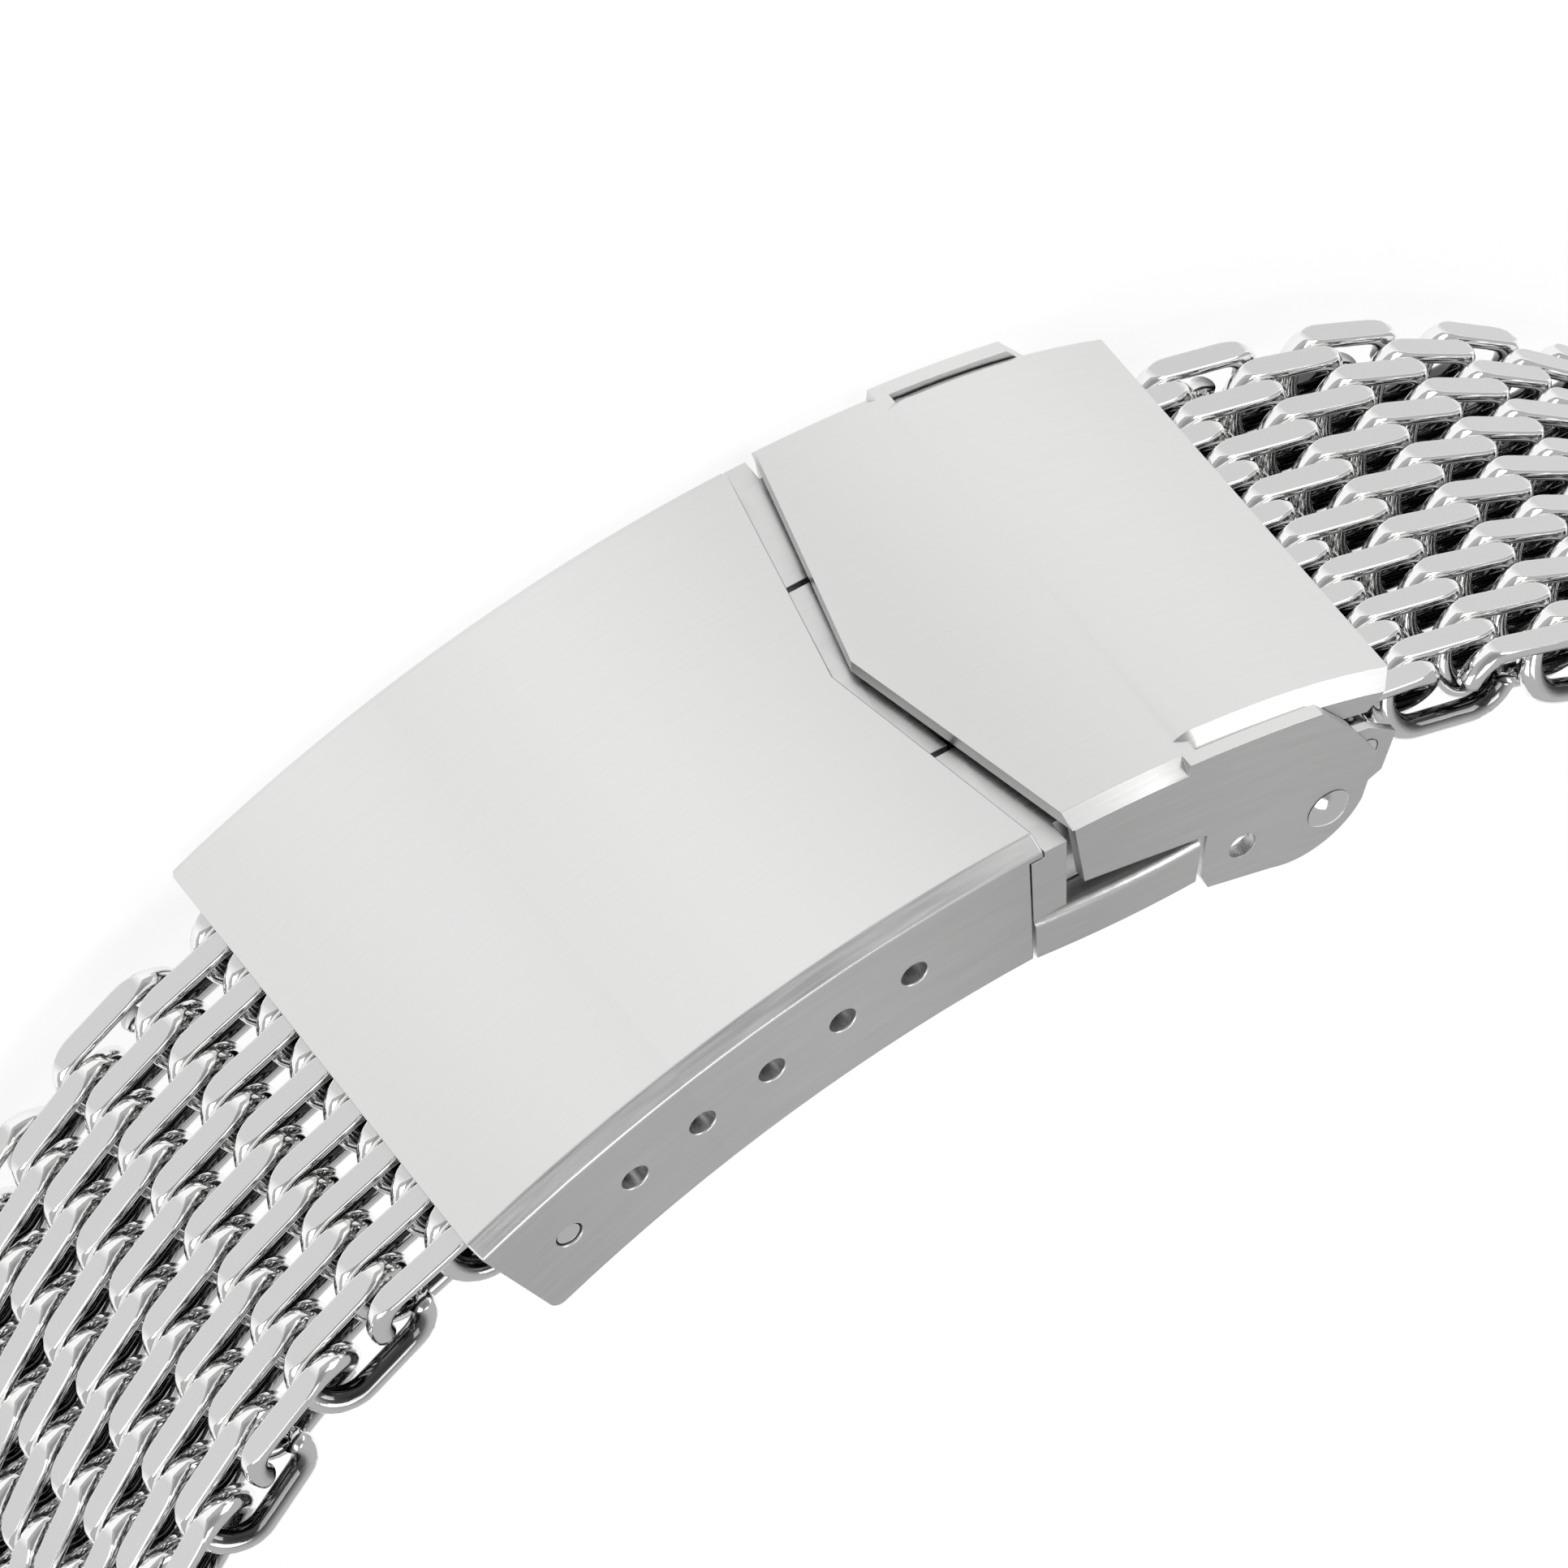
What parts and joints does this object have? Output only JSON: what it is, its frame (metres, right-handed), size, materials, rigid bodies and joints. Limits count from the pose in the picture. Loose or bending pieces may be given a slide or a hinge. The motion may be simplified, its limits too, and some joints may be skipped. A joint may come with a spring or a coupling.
{
  "type": "watch bracelet",
  "caption": "Wound-wire mesh watch bracelet with a fold-over clasp: vee-split cover, side push buttons, safety flip lock and spring bars, closed into a loop.",
  "frame": {"origin": "centre of the bounding box's bottom face; the bracelet lies on its far edge", "axes": "+Z across the strap towards the near side, -Y outwards from the clasp, the clasp's flip lock towards -X"},
  "size_m": [0.0806, 0.065, 0.0207],
  "materials": {
    "brushed_sheet": "fine satin, brushed along the strap",
    "mesh_wire": "ground flats, polished curls",
    "polished_pin": "polished",
    "spring_wire": "bright drawn wire"
  },
  "bodies": {
    "cover": {"clasp_cover": "brushed_sheet", "lock_housing": "brushed_sheet", "cover_hinge_pin": "polished_pin", "button_spring": "spring_wire", "left_bar_tube": "brushed_sheet", "left_bar_spring": "spring_wire"},
    "upper_blade": {"upper_blade": "brushed_sheet", "blade_hinge_pin": "polished_pin"},
    "lower_blade": {"lower_blade": "brushed_sheet", "latch_stud": "polished_pin", "end_block": "brushed_sheet", "flip_lock_pin": "polished_pin", "right_bar_tube": "brushed_sheet", "right_bar_spring": "spring_wire"},
    "flip_lock": {"flip_lock": "brushed_sheet"},
    "button_near": {"push_button_near": "brushed_sheet"},
    "button_far": {"push_button_far": "brushed_sheet"},
    "left_tip_near": {"left_bar_tip_near": "polished_pin"},
    "left_tip_far": {"left_bar_tip_far": "polished_pin"},
    "right_tip_near": {"right_bar_tip_near": "polished_pin"},
    "right_tip_far": {"right_bar_tip_far": "polished_pin"},
    "left_row_01": {"left_mesh_row_01": "mesh_wire"},
    "left_row_02": {"left_mesh_row_02": "mesh_wire"},
    "left_row_03": {"left_mesh_row_03": "mesh_wire"},
    "left_row_04": {"left_mesh_row_04": "mesh_wire"},
    "left_row_05": {"left_mesh_row_05": "mesh_wire"},
    "left_row_06": {"left_mesh_row_06": "mesh_wire"},
    "left_row_07": {"left_mesh_row_07": "mesh_wire"},
    "left_row_08": {"left_mesh_row_08": "mesh_wire"},
    "left_row_09": {"left_mesh_row_09": "mesh_wire"},
    "left_row_10": {"left_mesh_row_10": "mesh_wire"},
    "left_row_11": {"left_mesh_row_11": "mesh_wire"},
    "left_row_12": {"left_mesh_row_12": "mesh_wire"},
    "left_row_13": {"left_mesh_row_13": "mesh_wire"},
    "left_row_14": {"left_mesh_row_14": "mesh_wire"},
    "left_row_15": {"left_mesh_row_15": "mesh_wire"},
    "left_row_16": {"left_mesh_row_16": "mesh_wire"},
    "left_row_17": {"left_mesh_row_17": "mesh_wire"},
    "left_row_18": {"left_mesh_row_18": "mesh_wire", "left_lug_tube": "brushed_sheet"},
    "right_row_01": {"right_mesh_row_01": "mesh_wire"},
    "right_row_02": {"right_mesh_row_02": "mesh_wire"},
    "right_row_03": {"right_mesh_row_03": "mesh_wire"},
    "right_row_04": {"right_mesh_row_04": "mesh_wire"},
    "right_row_05": {"right_mesh_row_05": "mesh_wire"},
    "right_row_06": {"right_mesh_row_06": "mesh_wire"},
    "right_row_07": {"right_mesh_row_07": "mesh_wire"},
    "right_row_08": {"right_mesh_row_08": "mesh_wire"},
    "right_row_09": {"right_mesh_row_09": "mesh_wire"},
    "right_row_10": {"right_mesh_row_10": "mesh_wire"},
    "right_row_11": {"right_mesh_row_11": "mesh_wire"},
    "right_row_12": {"right_mesh_row_12": "mesh_wire"},
    "right_row_13": {"right_mesh_row_13": "mesh_wire"},
    "right_row_14": {"right_mesh_row_14": "mesh_wire"},
    "right_row_15": {"right_mesh_row_15": "mesh_wire"},
    "right_row_16": {"right_mesh_row_16": "mesh_wire"},
    "right_row_17": {"right_mesh_row_17": "mesh_wire"},
    "right_row_18": {"right_mesh_row_18": "mesh_wire", "right_lug_tube": "brushed_sheet"}
  },
  "joints": [
    {"name": "clasp_fold", "type": "hinge", "parent": "cover", "child": "upper_blade", "pos_m": [-0.00397, -0.02655, 0.01035], "axis": [0, 0, 1], "range_deg": [0, 120]},
    {"name": "blade_fold", "type": "hinge", "parent": "upper_blade", "child": "lower_blade", "pos_m": [0.00823, -0.027, 0.01035], "axis": [0, 0, -1], "range_deg": [0, 75]},
    {"name": "flip_lock_open", "type": "hinge", "parent": "lower_blade", "child": "flip_lock", "pos_m": [-0.01702, -0.02035, 0.01035], "axis": [0, 0, -1], "range_deg": [0, 70]},
    {"name": "right_row_01_hinge", "type": "hinge", "parent": "lower_blade", "child": "right_row_01", "pos_m": [-0.01926, -0.0209, 0.01035], "axis": [0, 0, -1], "range_deg": [0, 64]},
    {"name": "button_near_press", "type": "slide", "parent": "cover", "child": "button_near", "axis": [0, 0, -1], "range_m": [0, 0.0007], "stiffness_N_per_m": 800, "springref_m": -0.001, "deforming": ["button_spring"]},
    {"name": "button_far_press", "type": "slide", "parent": "cover", "child": "button_far", "axis": [0, 0, 1], "range_m": [0, 0.0007], "stiffness_N_per_m": 800, "springref_m": -0.001},
    {"name": "left_tip_near_press", "type": "slide", "parent": "cover", "child": "left_tip_near", "axis": [0, 0, -1], "range_m": [0, 0.001], "stiffness_N_per_m": 600, "springref_m": -0.001, "deforming": ["left_bar_spring"]},
    {"name": "left_tip_far_press", "type": "slide", "parent": "cover", "child": "left_tip_far", "axis": [0, 0, 1], "range_m": [0, 0.001], "stiffness_N_per_m": 600, "springref_m": -0.001},
    {"name": "right_tip_near_press", "type": "slide", "parent": "lower_blade", "child": "right_tip_near", "axis": [0, 0, -1], "range_m": [0, 0.001], "stiffness_N_per_m": 600, "springref_m": -0.001, "deforming": ["right_bar_spring"]},
    {"name": "right_tip_far_press", "type": "slide", "parent": "lower_blade", "child": "right_tip_far", "axis": [0, 0, 1], "range_m": [0, 0.001], "stiffness_N_per_m": 600, "springref_m": -0.001},
    {"name": "left_row_01_hinge", "type": "hinge", "parent": "cover", "child": "left_row_01", "pos_m": [0.01259, -0.02892, 0.01035], "axis": [0, 0, 1], "range_deg": [-8, 3]},
    {"name": "left_row_02_hinge", "type": "hinge", "parent": "left_row_01", "child": "left_row_02", "pos_m": [0.01544, -0.02882, 0.01035], "axis": [0, 0, 1], "range_deg": [-8, 2]},
    {"name": "left_row_03_hinge", "type": "hinge", "parent": "left_row_02", "child": "left_row_03", "pos_m": [0.01871, -0.02836, 0.01035], "axis": [0, 0, 1], "range_deg": [-10, 2]},
    {"name": "left_row_04_hinge", "type": "hinge", "parent": "left_row_03", "child": "left_row_04", "pos_m": [0.02188, -0.02745, 0.01035], "axis": [0, 0, 1], "range_deg": [-11, 2]},
    {"name": "left_row_05_hinge", "type": "hinge", "parent": "left_row_04", "child": "left_row_05", "pos_m": [0.02487, -0.02605, 0.01035], "axis": [0, 0, 1], "range_deg": [-9, 2]},
    {"name": "left_row_06_hinge", "type": "hinge", "parent": "left_row_05", "child": "left_row_06", "pos_m": [0.02767, -0.0243, 0.01035], "axis": [0, 0, 1], "range_deg": [-8, 2]},
    {"name": "left_row_07_hinge", "type": "hinge", "parent": "left_row_06", "child": "left_row_07", "pos_m": [0.03027, -0.02227, 0.01035], "axis": [0, 0, 1], "range_deg": [-8, 2]},
    {"name": "left_row_08_hinge", "type": "hinge", "parent": "left_row_07", "child": "left_row_08", "pos_m": [0.03264, -0.01998, 0.01035], "axis": [0, 0, 1], "range_deg": [-10, 2]},
    {"name": "left_row_09_hinge", "type": "hinge", "parent": "left_row_08", "child": "left_row_09", "pos_m": [0.03468, -0.01738, 0.01035], "axis": [0, 0, 1], "range_deg": [-10, 2]},
    {"name": "left_row_10_hinge", "type": "hinge", "parent": "left_row_09", "child": "left_row_10", "pos_m": [0.03633, -0.01452, 0.01035], "axis": [0, 0, 1], "range_deg": [-10, 2]},
    {"name": "left_row_11_hinge", "type": "hinge", "parent": "left_row_10", "child": "left_row_11", "pos_m": [0.03756, -0.01146, 0.01035], "axis": [0, 0, 1], "range_deg": [-10, 2]},
    {"name": "left_row_12_hinge", "type": "hinge", "parent": "left_row_11", "child": "left_row_12", "pos_m": [0.03836, -0.00826, 0.01035], "axis": [0, 0, 1], "range_deg": [-10, 2]},
    {"name": "left_row_13_hinge", "type": "hinge", "parent": "left_row_12", "child": "left_row_13", "pos_m": [0.0387, -0.00498, 0.01035], "axis": [0, 0, 1], "range_deg": [-10, 2]},
    {"name": "left_row_14_hinge", "type": "hinge", "parent": "left_row_13", "child": "left_row_14", "pos_m": [0.03859, -0.00168, 0.01035], "axis": [0, 0, 1], "range_deg": [-10, 2]},
    {"name": "left_row_15_hinge", "type": "hinge", "parent": "left_row_14", "child": "left_row_15", "pos_m": [0.03802, 0.00157, 0.01035], "axis": [0, 0, 1], "range_deg": [-10, 2]},
    {"name": "left_row_16_hinge", "type": "hinge", "parent": "left_row_15", "child": "left_row_16", "pos_m": [0.037, 0.00471, 0.01035], "axis": [0, 0, 1], "range_deg": [-10, 2]},
    {"name": "left_row_17_hinge", "type": "hinge", "parent": "left_row_16", "child": "left_row_17", "pos_m": [0.03555, 0.00767, 0.01035], "axis": [0, 0, 1], "range_deg": [-10, 2]},
    {"name": "left_row_18_hinge", "type": "hinge", "parent": "left_row_17", "child": "left_row_18", "pos_m": [0.0337, 0.01041, 0.01035], "axis": [0, 0, 1], "range_deg": [-10, 2]},
    {"name": "right_row_02_hinge", "type": "hinge", "parent": "right_row_01", "child": "right_row_02", "pos_m": [-0.0217, -0.01944, 0.01035], "axis": [0, 0, -1], "range_deg": [-7, 2]},
    {"name": "right_row_03_hinge", "type": "hinge", "parent": "right_row_02", "child": "right_row_03", "pos_m": [-0.02437, -0.0175, 0.01035], "axis": [0, 0, -1], "range_deg": [-7, 2]},
    {"name": "right_row_04_hinge", "type": "hinge", "parent": "right_row_03", "child": "right_row_04", "pos_m": [-0.02686, -0.01533, 0.01035], "axis": [0, 0, -1], "range_deg": [-8, 2]},
    {"name": "right_row_05_hinge", "type": "hinge", "parent": "right_row_04", "child": "right_row_05", "pos_m": [-0.02911, -0.01292, 0.01035], "axis": [0, 0, -1], "range_deg": [-8, 2]},
    {"name": "right_row_06_hinge", "type": "hinge", "parent": "right_row_05", "child": "right_row_06", "pos_m": [-0.0311, -0.01028, 0.01035], "axis": [0, 0, -1], "range_deg": [-7, 2]},
    {"name": "right_row_07_hinge", "type": "hinge", "parent": "right_row_06", "child": "right_row_07", "pos_m": [-0.03285, -0.00748, 0.01035], "axis": [0, 0, -1], "range_deg": [-7, 2]},
    {"name": "right_row_08_hinge", "type": "hinge", "parent": "right_row_07", "child": "right_row_08", "pos_m": [-0.03435, -0.00454, 0.01035], "axis": [0, 0, -1], "range_deg": [-6, 2]},
    {"name": "right_row_09_hinge", "type": "hinge", "parent": "right_row_08", "child": "right_row_09", "pos_m": [-0.03564, -0.00151, 0.01035], "axis": [0, 0, -1], "range_deg": [-6, 2]},
    {"name": "right_row_10_hinge", "type": "hinge", "parent": "right_row_09", "child": "right_row_10", "pos_m": [-0.03671, 0.00162, 0.01035], "axis": [0, 0, -1], "range_deg": [-6, 2]},
    {"name": "right_row_11_hinge", "type": "hinge", "parent": "right_row_10", "child": "right_row_11", "pos_m": [-0.03756, 0.0048, 0.01035], "axis": [0, 0, -1], "range_deg": [-6, 2]},
    {"name": "right_row_12_hinge", "type": "hinge", "parent": "right_row_11", "child": "right_row_12", "pos_m": [-0.03819, 0.00804, 0.01035], "axis": [0, 0, -1], "range_deg": [-6, 2]},
    {"name": "right_row_13_hinge", "type": "hinge", "parent": "right_row_12", "child": "right_row_13", "pos_m": [-0.0386, 0.01132, 0.01035], "axis": [0, 0, -1], "range_deg": [-7, 2]},
    {"name": "right_row_14_hinge", "type": "hinge", "parent": "right_row_13", "child": "right_row_14", "pos_m": [-0.03871, 0.01462, 0.01035], "axis": [0, 0, -1], "range_deg": [-9, 2]},
    {"name": "right_row_15_hinge", "type": "hinge", "parent": "right_row_14", "child": "right_row_15", "pos_m": [-0.03842, 0.0179, 0.01035], "axis": [0, 0, -1], "range_deg": [-11, 2]},
    {"name": "right_row_16_hinge", "type": "hinge", "parent": "right_row_15", "child": "right_row_16", "pos_m": [-0.03762, 0.0211, 0.01035], "axis": [0, 0, -1], "range_deg": [-13, 2]},
    {"name": "right_row_17_hinge", "type": "hinge", "parent": "right_row_16", "child": "right_row_17", "pos_m": [-0.03623, 0.0241, 0.01035], "axis": [0, 0, -1], "range_deg": [-14, 2]},
    {"name": "right_row_18_hinge", "type": "hinge", "parent": "right_row_17", "child": "right_row_18", "pos_m": [-0.03424, 0.02673, 0.01035], "axis": [0, 0, -1], "range_deg": [-14, 2]}
  ],
  "couplings": [
    {"joint": "blade_fold", "follows": "clasp_fold", "ratio": 0.62},
    {"joint": "flip_lock_open", "follows": "clasp_fold", "ratio": 0.58},
    {"joint": "right_row_01_hinge", "follows": "clasp_fold", "ratio": 0.53}
  ]
}
